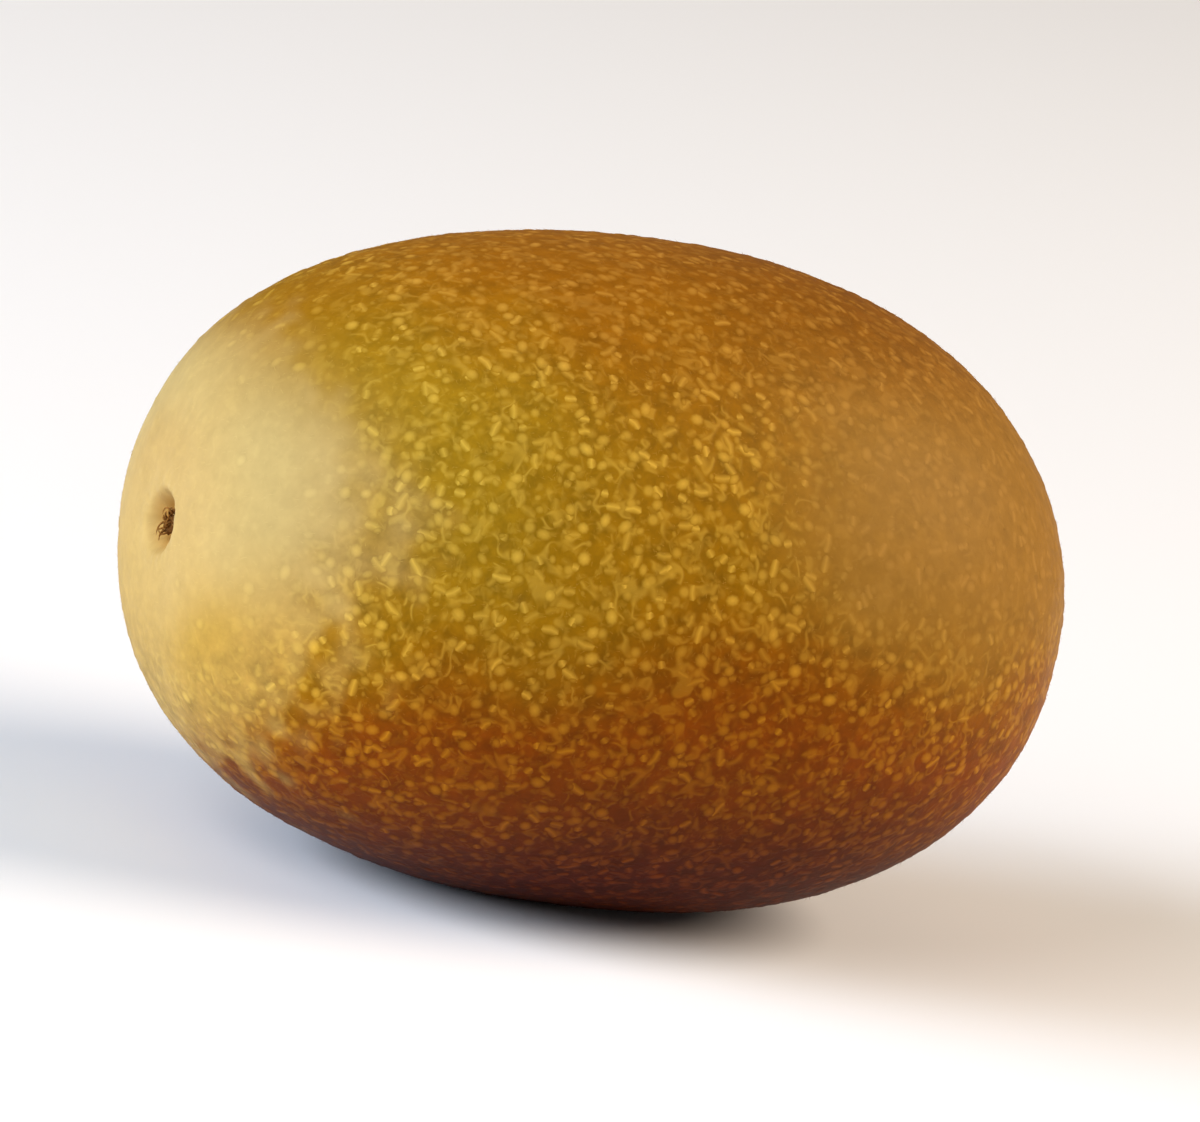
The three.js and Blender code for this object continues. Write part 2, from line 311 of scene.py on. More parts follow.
# Where the skin's rows are closer: the way, how many times as close less one, and over what width
CLOSER_ROWS = (
    (PIT_RADIUS, 2.25, 1.6),
    (WHOLE_WAY - RIM_RADIUS, 1.75, 2.4),
    (WHOLE_WAY - RECESS_RADIUS, 5.5, 0.45),
)


def skin_ways():
    """The ways of the skin's rows: evenly spread over the body, and closer together over the pit's
    wall and lip, the rim and the recess's wall. The closeness is 1 plus a hump at each of these, and
    each row takes an equal share of its running total."""
    fine = np.linspace(0, WHOLE_WAY, 20000)
    closeness = 1 + sum(more * hump((fine - at) / width) for at, more, width in CLOSER_ROWS)
    passed = np.cumsum(closeness)
    shares = (np.arange(SKIN_ROWS) + 0.5) / SKIN_ROWS
    return np.interp(shares, passed / passed[-1], fine)


turns = np.linspace(0, 2 * math.pi, SKIN_AROUND, endpoint=False)
rows_way, rows_turn = np.meshgrid(skin_ways(), turns, indexing="ij")
skin_points = np.concatenate([
    skin(np.array([0.0]), np.array([0.0])),
    skin(rows_way, rows_turn).reshape(-1, 3),
    skin(np.array([WHOLE_WAY]), np.array([0.0])),
])
fruit_skin = grown_piece(
    "fruit_skin", skin_points, closed_rows(SKIN_ROWS, SKIN_AROUND), skin_zones(skin_points)
)
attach(fruit_skin, "root")
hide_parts("fruit")


def paint(hex_colour):
    """An sRGB hex colour as the linear red, green, blue and alpha that a shader takes."""
    parts = [int(hex_colour[i:i + 2], 16) / 255 for i in (1, 3, 5)]
    return [c / 12.92 if c <= 0.04045 else ((c + 0.055) / 1.055) ** 2.4 for c in parts] + [1.0]


def add_node(tree, kind, sockets=None, **settings):
    """Adds a node to a material. The settings are its properties, and sockets gives inputs, by name
    or number, each a value or the output that feeds it."""
    made = tree.nodes.new(kind)
    for name, value in settings.items():
        setattr(made, name, value)
    for key, value in (sockets or {}).items():
        if isinstance(value, bpy.types.NodeSocket):
            tree.links.new(value, made.inputs[key])
        else:
            made.inputs[key].default_value = value
    return made


MIX_SHARE, MIX_A, MIX_B, MIX_RESULT = 0, 6, 7, 2  # the sockets of a Mix node that mixes colours


def valued_colour(tree, colours):
    """The plain colour with each other one laid over it in turn, by as much as the piece's own value
    of that name says."""
    colour = paint(colours["plain"])
    for name in list(colours)[1:]:
        share = add_node(tree, "ShaderNodeAttribute", attribute_name=name).outputs["Fac"]
        sockets = {MIX_SHARE: share, MIX_A: colour, MIX_B: paint(colours[name])}
        colour = add_node(tree, "ShaderNodeMix", sockets, data_type="RGBA").outputs[MIX_RESULT]
    return colour


def new_finish(name):
    """A new material, its node tree, and the place on its surface in millimetres, which is Object
    coordinates times 1000."""
    material = bpy.data.materials.new(name)
    material.use_nodes = True
    tree = material.node_tree
    tree.nodes.clear()
    place = add_node(tree, "ShaderNodeTexCoord").outputs["Object"]
    sockets = {"Vector": place, "Scale": (1 / MM,) * 3}
    millimetres = add_node(tree, "ShaderNodeMapping", sockets).outputs["Vector"]
    return material, tree, millimetres


def set_surface(tree, colour, **values):
    """Ends a material with one Principled shader: its colour, and each value on the socket of its
    name, which has a space for each underscore."""
    sockets = {name.replace("_", " "): value for name, value in values.items()}
    shader = add_node(tree, "ShaderNodeBsdfPrincipled", {"Base Color": colour, **sockets})
    add_node(tree, "ShaderNodeOutputMaterial", {"Surface": shader.outputs["BSDF"]})


# Kiwi skin: a thin, tough leather of dead cells under a trace of wax, and flecked with cork, more
# thinly than the raised specks and scurf. To the eye it is satin, with a broad soft gloss, and
# mottled like suede, but smooth and pale where it is bare. Its colours hold painted light as well:
# a painted highlight on the blossom end, a painted sheen on the front nearer the stem end, and
# painted shade over the lower side and the underside. The mottling is 1 to 2 mm across. The
# flecks are 2 mm apart and fade out 0.6 mm from their middles, with threads 0.4 mm wide among them.
SKIN_COLOURS = {
    "plain": "#8C5E04",
    "green": "#8E6A0E",
    "browned": "#8A5204",
    # the lower side's own reddish brown, with painted shade in it
    "reddened_and_painted_shade": "#7C3800",
    # painted shade: the underside, and faintly the top towards the stem end
    "painted_shade": "#3E0600",
    # pale, partly its own colour and partly a painted highlight
    "bare": "#B4945A",
    "golden": "#AA8230",
    # painted highlight: a creamy ring on the blossom end's shoulder
    "painted_highlight": "#AA9058",
    # painted sheen: the front nearer the stem end
    "painted_sheen": "#966A26",
    "russet": "#A46A2E",
    "crested": "#CC9458",
    "cracked": "#8A5220",
    "hollow": "#A4722E",
}
# Cork on the skin: dead air-filled cells, weathered, and so thin that the skin's colour shows through
# Its colours follow the skin's, the painted highlight, sheen and shade included
CORK_COLOURS = {
    "plain": "#DAAA3A",
    "green": "#CCA63C",
    "browned": "#C68C34",
    # cork on the lower side, its own colour darkened with painted shade
    "reddened_and_painted_shade": "#BC7A14",
    # cork darkened with the painted shade
    "painted_shade": "#743006",
    # cork paled, partly its own colour and partly a painted highlight
    "bare": "#D2B26C",
    "golden": "#C8A03A",
    # cork lightened with the painted highlight
    "painted_highlight": "#CCB06C",
    # cork lightened with the painted sheen
    "painted_sheen": "#B8863C",
    "russet": "#C08A4C",
}
MOTTLES_PER_MM, GRAINS_PER_MM = 0.6, 1.1
FLECKS_PER_MM, THREADS_PER_MM, BREAKS_PER_MM = 0.52, 0.52, 0.85
MOTTLING = 1.15  # how far it goes to each side of the plain colour, for noise that keeps near its middle
SKIN_RELIEF = 0.045  # how high the cork and the grain stand in the bump
SMOOTH_LEAVES = {"mottling": 0.25, "flecks": 0.25, "cork": 0.45, "relief": 0.3}  # where the skin is smooth
SKIN_GLOSS = {
    "Roughness": 0.55,
    "IOR": 1.45,
    "Specular_IOR_Level": 0.15,
    "Specular_Tint": paint("#FFE28E"),
}


def less_where_smooth(tree, value, what):
    """The value where the skin isn't smooth, falling to the share of it that is left where it is."""
    smooth = add_node(tree, "ShaderNodeAttribute", attribute_name="smooth").outputs["Fac"]
    sockets = {"Value": smooth, "To Min": 1.0, "To Max": SMOOTH_LEAVES[what]}
    share = add_node(tree, "ShaderNodeMapRange", sockets).outputs["Result"]
    return add_node(tree, "ShaderNodeMath", {0: value, 1: share}, operation="MULTIPLY").outputs[0]


def flecks(tree, place):
    """How much thin cork lies on the skin, and a fine grain. The cork is the most of three patterns:
    patches where the grain is high, cores of scattered cells, and a web of threads where a slow noise
    crosses its middle, broken up by another noise."""
    grain = add_node(
        tree, "ShaderNodeTexNoise",
        {"Vector": place, "Scale": GRAINS_PER_MM, "Detail": 2, "Roughness": 0.5, "Distortion": 0.8},
    ).outputs["Fac"]
    patches = add_node(
        tree, "ShaderNodeMapRange",
        {"Value": grain, "From Min": 0.5, "From Max": 0.7, "To Min": 0.0, "To Max": 0.2},
        interpolation_type="SMOOTHSTEP",
    ).outputs["Result"]
    cells = add_node(
        tree, "ShaderNodeTexVoronoi", {"Vector": place, "Scale": FLECKS_PER_MM, "Randomness": 1.0}
    ).outputs["Distance"]
    cores = add_node(
        tree, "ShaderNodeMapRange",
        {"Value": cells, "From Min": 0.08, "From Max": 0.3, "To Min": 0.5, "To Max": 0.0},
        interpolation_type="SMOOTHSTEP",
    ).outputs["Result"]
    slow = add_node(
        tree, "ShaderNodeTexNoise",
        {"Vector": place, "Scale": THREADS_PER_MM, "Detail": 1, "Distortion": 0.5},
    ).outputs["Fac"]
    off_middle = add_node(tree, "ShaderNodeMath", {0: slow, 1: 0.5}, operation="SUBTRACT").outputs[0]
    off_middle = add_node(tree, "ShaderNodeMath", {0: off_middle}, operation="ABSOLUTE").outputs[0]
    threads = add_node(
        tree, "ShaderNodeMapRange",
        {"Value": off_middle, "From Min": 0.0, "From Max": 0.1, "To Min": 0.38, "To Max": 0.0},
        interpolation_type="SMOOTHSTEP",
    ).outputs["Result"]
    breaks = add_node(
        tree, "ShaderNodeTexNoise", {"Vector": place, "Scale": BREAKS_PER_MM, "Detail": 0}
    ).outputs["Fac"]
    unbroken = add_node(
        tree, "ShaderNodeMapRange", {"Value": breaks, "From Min": 0.47, "From Max": 0.62},
        interpolation_type="SMOOTHSTEP",
    ).outputs["Result"]
    web = add_node(tree, "ShaderNodeMath", {0: threads, 1: unbroken}, operation="MULTIPLY").outputs[0]
    most = add_node(tree, "ShaderNodeMath", {0: patches, 1: cores}, operation="MAXIMUM").outputs[0]
    most = add_node(tree, "ShaderNodeMath", {0: most, 1: web}, operation="MAXIMUM").outputs[0]
    return less_where_smooth(tree, most, "flecks"), grain


def kiwi_skin(name, most_cork):
    """The skin's colour times 1 plus slow noise about 0, with the cork's colour laid over it by the
    flecks or by the piece's own thickness of cork, whichever is more. Where that thickness is 1, it
    covers by the most cork. The bump is the cover plus the grain."""
    material, tree, place = new_finish(name)
    noise = add_node(
        tree, "ShaderNodeTexNoise",
        {"Vector": place, "Scale": MOTTLES_PER_MM, "Detail": 3, "Roughness": 0.65},
    ).outputs["Fac"]
    off_middle = add_node(tree, "ShaderNodeMath", {0: noise, 1: 0.5}, operation="SUBTRACT").outputs[0]
    sockets = {0: less_where_smooth(tree, off_middle, "mottling"), 1: MOTTLING, 2: 1.0}
    mottled = add_node(tree, "ShaderNodeMath", sockets, operation="MULTIPLY_ADD").outputs[0]
    sockets = {0: valued_colour(tree, SKIN_COLOURS), "Scale": mottled}
    ground = add_node(tree, "ShaderNodeVectorMath", sockets, operation="SCALE").outputs["Vector"]

    flecked, grain = flecks(tree, place)
    thickness = add_node(tree, "ShaderNodeAttribute", attribute_name="thickness").outputs["Fac"]
    sockets = {0: less_where_smooth(tree, thickness, "cork"), 1: most_cork}
    thick = add_node(tree, "ShaderNodeMath", sockets, operation="MULTIPLY").outputs[0]
    covered = add_node(tree, "ShaderNodeMath", {0: flecked, 1: thick}, operation="MAXIMUM").outputs[0]
    sockets = {MIX_SHARE: covered, MIX_A: ground, MIX_B: valued_colour(tree, CORK_COLOURS)}
    colour = add_node(tree, "ShaderNodeMix", sockets, data_type="RGBA").outputs[MIX_RESULT]

    height = add_node(tree, "ShaderNodeMath", {0: covered, 1: grain}, operation="ADD").outputs[0]
    height = less_where_smooth(tree, height, "relief")
    sockets = {"Height": height, "Distance": SKIN_RELIEF * MM, "Strength": 0.8}
    normal = add_node(tree, "ShaderNodeBump", sockets).outputs["Normal"]
    set_surface(tree, colour, Normal=normal, **SKIN_GLOSS)
    return material


fruit_skin.data.materials.append(kiwi_skin("kiwi_skin_satin", 0.0))


# ---------------------------------------------------------------------------------------------
# The specks
#
# Lenticels, the skin's breathing pores, each plugged by a little raised dome of cork. The skin grew
# them all over, and they thin out towards the bare blossom end and the rim of the stem end.

GOLDEN_ANGLE = math.radians(137.508)
SPECKS = 3900
SPECK_SPREAD = 0.75  # how far each is moved from its even place
BARE_SPECKS = 0.05  # the share of them that the bare end keeps
SPECKS_FULL = (12, 24)  # from and to which way they grow to their full number
LOWER_SIDE_AHEAD = 4  # by how much the bare end reaches less far on the lower side
SPECKS_OFF_PIT, SPECKS_OFF_RIM = (3, 6), (7, 12)  # the ways from each pole over which they start
SPECK_RADII = (0.22, 0.64)
SPECK_LONGER = (1.0, 1.25)
MANY_SMALL = 0.6  # the power of the sizes' spread, which below 1 has more small ones than large
SPECK_HEIGHT = 0.11  # as a share of its radius
SPECK_SUNK = 0.04
SPECK_SIDES = 8
# Its sunk middle, foot, shoulder and top: the shares of its height, radius and cork, and the points
SPECK_LEVELS, SPECK_GIRTHS, SPECK_CORK = (0, 0, 0.7, 1), (0, 1, 0.55, 0), (0, 0, 0.65, 1)
SPECK_POINTS = (1, SPECK_SIDES, SPECK_SIDES, 1)
LEAST_CORK, CORK_SHARES = 0.3, (0.35, 1.0)
FLAT_SPOT_CLEAR = 0.25  # nothing stands on the skin nearer the floor than this


def outline_radius(way, least):
    """The plain outline's radius at each way, and never less than the least, as it is 0 at a pole."""
    return np.maximum(least, np.interp(way, outline_way, outline_share) * HEIGHT / 2)


def strewn(count, spread, seed):
    """The ways and turns of points strewn evenly over the skin. Each has an equal share of the area
    and is turned on by the golden angle, and is then moved at random by up to the spread."""
    random = np.random.default_rng(seed)
    area = np.concatenate([[0], np.cumsum(outline_share[1:] * np.diff(outline_way))])
    way = np.interp((np.arange(count) + 0.5) / count, area / area[-1], outline_way)
    way_moved, turn_moved = random.uniform(-spread, spread, (2, count))
    turn = np.arange(count) * GOLDEN_ANGLE + turn_moved / outline_radius(way, 0.5)
    return np.clip(way + way_moved, 0.2, WHOLE_WAY - 0.2), turn


def skin_frame(way, turn):
    """The skin's point at each way and turn, with unit vectors round the fruit, along it and straight
    up. The first two come from a step to each side, and up is round x along."""
    step = 0.08
    turned = step / outline_radius(way, 0.2)
    along = skin(way + step, turn) - skin(way - step, turn)
    around = skin(way, turn + turned) - skin(way, turn - turned)
    up = np.cross(around, along)
    up, along = (v / np.linalg.norm(v, axis=-1, keepdims=True) for v in (up, along))
    return skin(way, turn), np.cross(along, up), along, up


def spindles(middles, first, second, sides):
    """The points and triangles of closed spindles, one to each row of middles. The row's first and
    last middles are its tips, and each one between has a ring: middle + cos(a) * first + sin(a) *
    second. A spindle faces out where first x second points on along its middles."""
    count, stations = middles.shape[:2]
    angle = np.linspace(0, 2 * math.pi, sides, endpoint=False)[:, None]
    inner = slice(1, stations - 1)
    rings = np.cos(angle) * first[:, inner, None] + np.sin(angle) * second[:, inner, None]
    rings = (middles[:, inner, None] + rings).reshape(count, -1, 3)
    points = np.concatenate([middles[:, :1], rings, middles[:, -1:]], axis=1)
    starts = np.arange(count)[:, None, None] * points.shape[1]
    return points.reshape(-1, 3), (closed_rows(stations - 2, sides) + starts).reshape(-1, 3)


def past_bare_end(way, turn, least, full):
    """The share of its full number that grows at each way and turn: the least at the bare end, and
    from there a smooth rise to 1 between the two ways in full. The lower side is ahead."""
    return least + (1 - least) * rise(*full, way + LOWER_SIDE_AHEAD * rise(0.4, -0.1, np.sin(turn)))


def kept(way, turn, chance, random):
    """Which of the points to keep: each one by its chance, and none on the flat spot."""
    return (random.random(way.shape) < chance) & (skin(way, turn)[..., 2] > FLAT_SPOT_CLEAR)


random = np.random.default_rng(31)
way, turn = strewn(SPECKS, SPECK_SPREAD, 32)
chance = past_bare_end(way, turn, BARE_SPECKS, SPECKS_FULL)
chance *= rise(*SPECKS_OFF_PIT, way) * rise(*SPECKS_OFF_RIM, WHOLE_WAY - way)
keep = kept(way, turn, chance, random)
way, turn = way[keep], turn[keep]
place, around, along, up = skin_frame(way, turn)
size = random.power(MANY_SMALL, way.shape)
radius = SPECK_RADII[0] + size * np.ptp(SPECK_RADII)
levels = np.array(SPECK_LEVELS) * SPECK_HEIGHT * radius[:, None] - [SPECK_SUNK, 0, 0, 0]
middles = place[:, None] + levels[..., None] * up[:, None]
longer = random.uniform(*SPECK_LONGER, way.shape)
askew = random.uniform(0, math.pi, way.shape)[:, None]
first = (np.cos(askew) * around + np.sin(askew) * along) * (radius * longer)[:, None]
second = (np.cos(askew) * along - np.sin(askew) * around) * (radius / longer)[:, None]
first, second = (v[:, None] * np.array(SPECK_GIRTHS)[:, None] for v in (first, second))
points, triangles = spindles(middles, first, second, SPECK_SIDES)
thickest = LEAST_CORK + (1 - LEAST_CORK) * size * random.uniform(*CORK_SHARES, way.shape)
thickness = (thickest[:, None] * np.repeat(SPECK_CORK, SPECK_POINTS)).ravel()
specks = grown_piece(
    "skin_specks", points, triangles, {**skin_zones(points), "thickness": thickness},
    ups=np.repeat(up, sum(SPECK_POINTS), axis=0),
)
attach(specks, "root")

# The specks' cork is satin like the skin, and pale tan. It is thick in the middle of a speck and thin
# at its edge, where the skin shows through it.
specks.data.materials.append(kiwi_skin("speck_cork_satin", 1.0))


# ---------------------------------------------------------------------------------------------
# The scurf
#
# The rubbed-off stubs and skeins of the young fruit's bristles and outer skin, which split as the
# fruit swelled. They lie on the skin as short curved ridges, no two the same way.

SCURF = 3900
SCURF_SPREAD = 1.0
BARE_SCURF, SCURF_FULL = 0.04, (15, 27)
SCURF_OFF_PIT, SCURF_OFF_RIM = (3, 6), (8, 14)
SCURF_HALF_LENGTHS = (0.4, 1.2)
SCURF_HALF_WIDTH = 0.42
SCURF_HEIGHT = 0.02
SCURF_SUNK = 0.03
SCURF_BEND = 0.5  # how far its middle stands aside, as a share of half its length
SCURF_TAPER = np.array([0.0, 0.85, 1.0, 0.8, 0.0])
SCURF_CORK = (0, 1, 0, 0)  # round each ring: an edge, the crest, the other edge and the underside
SCURF_CORK_SHARES = (0.1, 1.0)

random = np.random.default_rng(41)
way, turn = strewn(SCURF, SCURF_SPREAD, 42)
chance = past_bare_end(way, turn, BARE_SCURF, SCURF_FULL)
chance *= rise(*SCURF_OFF_PIT, way) * rise(*SCURF_OFF_RIM, WHOLE_WAY - way)
keep = kept(way, turn, chance, random)
way, turn = way[keep, None], turn[keep, None]
size = random.power(MANY_SMALL, way.shape)
half_length = SCURF_HALF_LENGTHS[0] + size * np.ptp(SCURF_HALF_LENGTHS)
heading = random.uniform(0, 2 * math.pi, way.shape)
bend = random.uniform(-SCURF_BEND, SCURF_BEND, way.shape)
on = np.linspace(-1, 1, len(SCURF_TAPER))
forward, aside = half_length * on, half_length * bend * (on * on - 0.5)
place, around, along, up = skin_frame(
    way + forward * np.cos(heading) - aside * np.sin(heading),
    turn + (forward * np.sin(heading) + aside * np.cos(heading)) / outline_radius(way, 1),
)
middles = place - SCURF_SUNK * up * (SCURF_TAPER == 0)[:, None]
onward = np.gradient(place, axis=1)
across = np.cross(up, onward)
across *= (SCURF_HALF_WIDTH * SCURF_TAPER / np.linalg.norm(across, axis=-1))[..., None]
points, triangles = spindles(
    middles, across, up * (SCURF_HEIGHT * SCURF_TAPER)[:, None], len(SCURF_CORK)
)
ridge = np.concatenate([[0], np.tile(SCURF_CORK, len(SCURF_TAPER) - 2), [0]])
thickness = (random.uniform(*SCURF_CORK_SHARES, way.shape) * ridge).ravel()
scurf_points = np.where(SCURF_TAPER > 0, len(SCURF_CORK), 1)
scurf = grown_piece(
    "skin_scurf", points, triangles, {**skin_zones(points), "thickness": thickness},
    ups=np.repeat(up, scurf_points, axis=1),
)
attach(scurf, "root")

# The scurf is cork too, rubbed thinner than the specks' and satin like the skin that it lies on.
scurf.data.materials.append(kiwi_skin("scurf_cork_satin", 0.9))


# ---------------------------------------------------------------------------------------------
# The down
#
# What is left of the fine hairs of the young fruit: short, soft, and lying almost flat, mostly with
# their tips towards the blossom end. They stand closest in the folds of the two ends.

DOWN = 26000
DOWN_SPREAD = 0.6
DOWN_LENGTHS = (0.2, 0.5)
DOWN_RADIUS = 0.018
DOWN_LEAN = (1.05, 1.4)  # radians from upright
DOWN_AWRY = 0.9  # how far they turn from the blossom end, in radians
DOWN_SUNK, DOWN_RISEN = 0.03, 0.01
DOWN_ON_BODY = 0.45  # the share of them that is left between the two ends
DOWN_CLOSEST = (PIT_LIP_RADIUS, RIM_RADIUS + 1)  # the ways from each pole where it stands closest
DOWN_CLOSE_WIDTH = 3
DOWN_OFF_PIT, DOWN_OFF_SCAR = (1.2, 2.4), (5.3, 5.8)
DOWN_SIDES = 3

random = np.random.default_rng(51)
way, turn = strewn(DOWN, DOWN_SPREAD, 52)
from_poles = (way, WHOLE_WAY - way)
at_ends = [hump((off - at) / DOWN_CLOSE_WIDTH) for off, at in zip(from_poles, DOWN_CLOSEST)]
chance = DOWN_ON_BODY + (1 - DOWN_ON_BODY) * np.maximum(*at_ends)
chance *= rise(*DOWN_OFF_PIT, way) * rise(*DOWN_OFF_SCAR, WHOLE_WAY - way)
keep = kept(way, turn, chance, random)
way, turn = way[keep], turn[keep]
place, around, along, up = skin_frame(way, turn)
length = random.uniform(*DOWN_LENGTHS, way.shape)[:, None]
lean = random.uniform(*DOWN_LEAN, way.shape)[:, None]
heading = random.normal(0, DOWN_AWRY, way.shape)[:, None]
level = np.sin(heading) * around - np.cos(heading) * along
tip = place + length * (np.sin(lean) * level + np.cos(lean) * up)
middles = np.stack([place - DOWN_SUNK * up, place + DOWN_RISEN * up, tip], axis=1)
first, second = (np.repeat(v[:, None] * DOWN_RADIUS, 3, axis=1) for v in (around, along))
points, triangles = spindles(middles, first, second, DOWN_SIDES)
down = grown_piece(
    "skin_down", points, triangles, skin_zones(points), ups=np.repeat(up, 2 + DOWN_SIDES, axis=0)
)
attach(down, "root")


# Dry plant hair: clear and colourless itself, so the skin's colour shows through it, a little paler.
# It has no pattern, because a hair is thinner than any.
def dry_down():
    """The skin's colour halfway to its cork's."""
    material, tree, _ = new_finish("down_hair_dry")
    sockets = {MIX_SHARE: 0.5}
    sockets[MIX_A] = valued_colour(tree, SKIN_COLOURS)
    sockets[MIX_B] = valued_colour(tree, CORK_COLOURS)
    colour = add_node(tree, "ShaderNodeMix", sockets, data_type="RGBA").outputs[MIX_RESULT]
    set_surface(tree, colour, Roughness=0.6, IOR=1.45, Specular_IOR_Level=0.2)
    return material


down.data.materials.append(dry_down())


# ---------------------------------------------------------------------------------------------
# The stem scar
#
# The callus of cork that sealed the joint where the stalk was snapped off. It has a lipped pit where
# the stalk's pith was, fibres that run out from it, and a torn edge. Between the arcs of the crack
# round it, five bridges join it to the rim.

SCAR_RADIUS = 4.95
SCAR_TOP = -0.2  # heights are measured outwards from the fruit's end
SCAR_UNDERSIDE = -1.4
SCAR_EDGE = 0.35  # how far its edge is rounded
SCAR_LOBES = 0.02  # how far the sepals drew its edge out, as a share of its radius
# The shares of the way over it: to the edge, to its middle, to the top and to the top's full relief
UNDER_ENDS, EDGE_MIDDLE, TOP_STARTS, RELIEF_FULL = 0.2, 0.25, 0.3, 0.33
SCAR_PIT_RADIUS, SCAR_PIT_DEPTH = 1.6, 0.85
SCAR_PIT_OVAL, SCAR_PIT_TURNED, SCAR_PIT_LOBES = 0.26, 0.7, 0.05  # shares of its radius, and radians
SCAR_PIT_WALL = (-0.75, 0.05)  # from its floor to its top, outwards from the pit's edge
SCAR_LIP_HEIGHT, SCAR_LIP_WIDTH, SCAR_LIP_OUT = 0.14, 0.4, 0.2
SCAR_RIDGES, SCAR_RIDGE_HEIGHT, SCAR_RIDGE_TWIST = 9, 0.03, 0.4
BRIDGE_REACH, BRIDGE_WIDTH = 5.4, 0.2  # the width in radians
BRIDGE_DIP, BRIDGE_DIP_WIDTH = 0.25, 0.9
TORN = 0.13  # how far the edge is torn in and out
TEARS = ((9, 1, 61), (26, 0.6, 62))  # tears to a radian, their share of it, and the noise's number
FIBRE_HEIGHT, FIBRES_PER_RADIAN, FIBRES_PER_MM = 0.02, 14, 0.8  # per mm along the fibres
CRUMB_HEIGHT, CRUMBS_PER_MM = 0.03, 3.5
LUMP_HEIGHT, LUMPS_PER_MM = 0.13, 0.7
SMOOTHER_IN_PIT = 0.4  # the share of the fibres, crumbs and lumps that is left there
SCAR_ROWS, SCAR_AROUND = 190, 300


def scar_surface(share, turn):
    """The scar about the fruit's axis, with 0 at the fruit's end. share runs from the pole of its
    underside, round its edge at a quarter, to the pole of its top. The top's height is its plane plus
    the lip's hump, the twisted ridges and fibres and some lumps, less the oval pit; the edge's reach
    is lobed by the sepals, torn by noise and drawn out at each bridge."""
    ring = np.stack([np.cos(turn), np.sin(turn)], axis=-1)
    off_bridge = (SEPALS * turn + SEPALS_TURNED + math.pi) % (2 * math.pi) - math.pi
    bridge = hump(off_bridge / SEPALS / BRIDGE_WIDTH)
    tear = sum(part * lattice_noise(np.dstack([ring * often, share]), seed) for often, part, seed in TEARS)
    lobed = SCAR_RADIUS * (1 + SCAR_LOBES * np.cos(SEPALS * turn + SEPALS_TURNED)) + TORN * tear
    edge = lobed + np.maximum(0, BRIDGE_REACH - lobed) * bridge

    # The plain round body, with a quarter of a circle at each end of its edge
    rounded = np.interp(share, (UNDER_ENDS, TOP_STARTS), (0, math.pi))
    radius = (edge - SCAR_EDGE) * np.interp(share, (0, UNDER_ENDS, TOP_STARTS, 1), (0, 1, 1, 0))
    radius = radius + SCAR_EDGE * np.sin(rounded)
    lower = SCAR_UNDERSIDE + SCAR_EDGE * (1 - np.cos(rounded))
    higher = SCAR_TOP - SCAR_EDGE * (1 + np.cos(rounded))
    height = np.where(share < EDGE_MIDDLE, lower, higher)

    # The top's relief
    upper = rise(EDGE_MIDDLE, RELIEF_FULL, share)
    outer = rise(SCAR_PIT_RADIUS, SCAR_RADIUS, radius)
    drawn_out = SCAR_PIT_OVAL * np.cos(2 * turn + SCAR_PIT_TURNED) + SCAR_PIT_LOBES * np.cos(5 * turn)
    off_pit = radius - SCAR_PIT_RADIUS * (1 + drawn_out)
    pit = SCAR_PIT_DEPTH * (1 - rise(*SCAR_PIT_WALL, off_pit))
    lip = SCAR_LIP_HEIGHT * hump((off_pit - SCAR_LIP_OUT) / SCAR_LIP_WIDTH)
    ridges = SCAR_RIDGE_HEIGHT * np.cos(SCAR_RIDGES * (turn + SCAR_RIDGE_TWIST * radius)) * outer
    level, flat = 0 * radius, ring * radius[..., None]
    fibres = lattice_noise(np.dstack([ring * FIBRES_PER_RADIAN, radius * FIBRES_PER_MM]), 63)
    crumbs = CRUMB_HEIGHT * lattice_noise(np.dstack([flat * CRUMBS_PER_MM, level]), 64)
    lumps = LUMP_HEIGHT * lattice_noise(np.dstack([flat * LUMPS_PER_MM, level]), 65)
    rough = (SMOOTHER_IN_PIT + (1 - SMOOTHER_IN_PIT) * outer) * (FIBRE_HEIGHT * fibres + crumbs + lumps)
    height = height + upper * (lip + ridges + rough - pit)
    dip = BRIDGE_DIP * bridge * rise(SCAR_RADIUS - BRIDGE_DIP_WIDTH, SCAR_RADIUS, radius)
    height = height - upper * outer * dip

    surface = np.stack([height, radius * ring[..., 0], radius * ring[..., 1]], axis=-1)
    zones = {
        "worn": upper * rise(0.1, 0.9, fibres + 0.5 * outer),
        "lipped": upper * hump((off_pit - 0.15) / 0.45),
        "inside": upper * (1 - rise(-0.55, -0.05, off_pit)),
        "torn_edge": (1 - upper) * (share > 0),
    }
    return surface, zones


scar_shares = (np.arange(SCAR_ROWS) + 0.5) / SCAR_ROWS
scar_turns = np.linspace(0, 2 * math.pi, SCAR_AROUND, endpoint=False)
grid, grid_values = scar_surface(*np.meshgrid(scar_shares, scar_turns, indexing="ij"))
poles, poles_values = scar_surface(np.array([[0.0], [1.0]]), np.zeros((2, 1)))
points = np.concatenate([poles[0], grid.reshape(-1, 3), poles[1]]) + AXIS_PLACE + [STEM["reach"], 0, 0]
values = {
    name: np.concatenate([poles_values[name][0], numbers.ravel(), poles_values[name][1]])
    for name, numbers in grid_values.items()
}
stem_scar = grown_piece("stem_scar_cork", points, closed_rows(SCAR_ROWS, SCAR_AROUND), values)
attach(stem_scar, "root")
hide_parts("stem_scar")

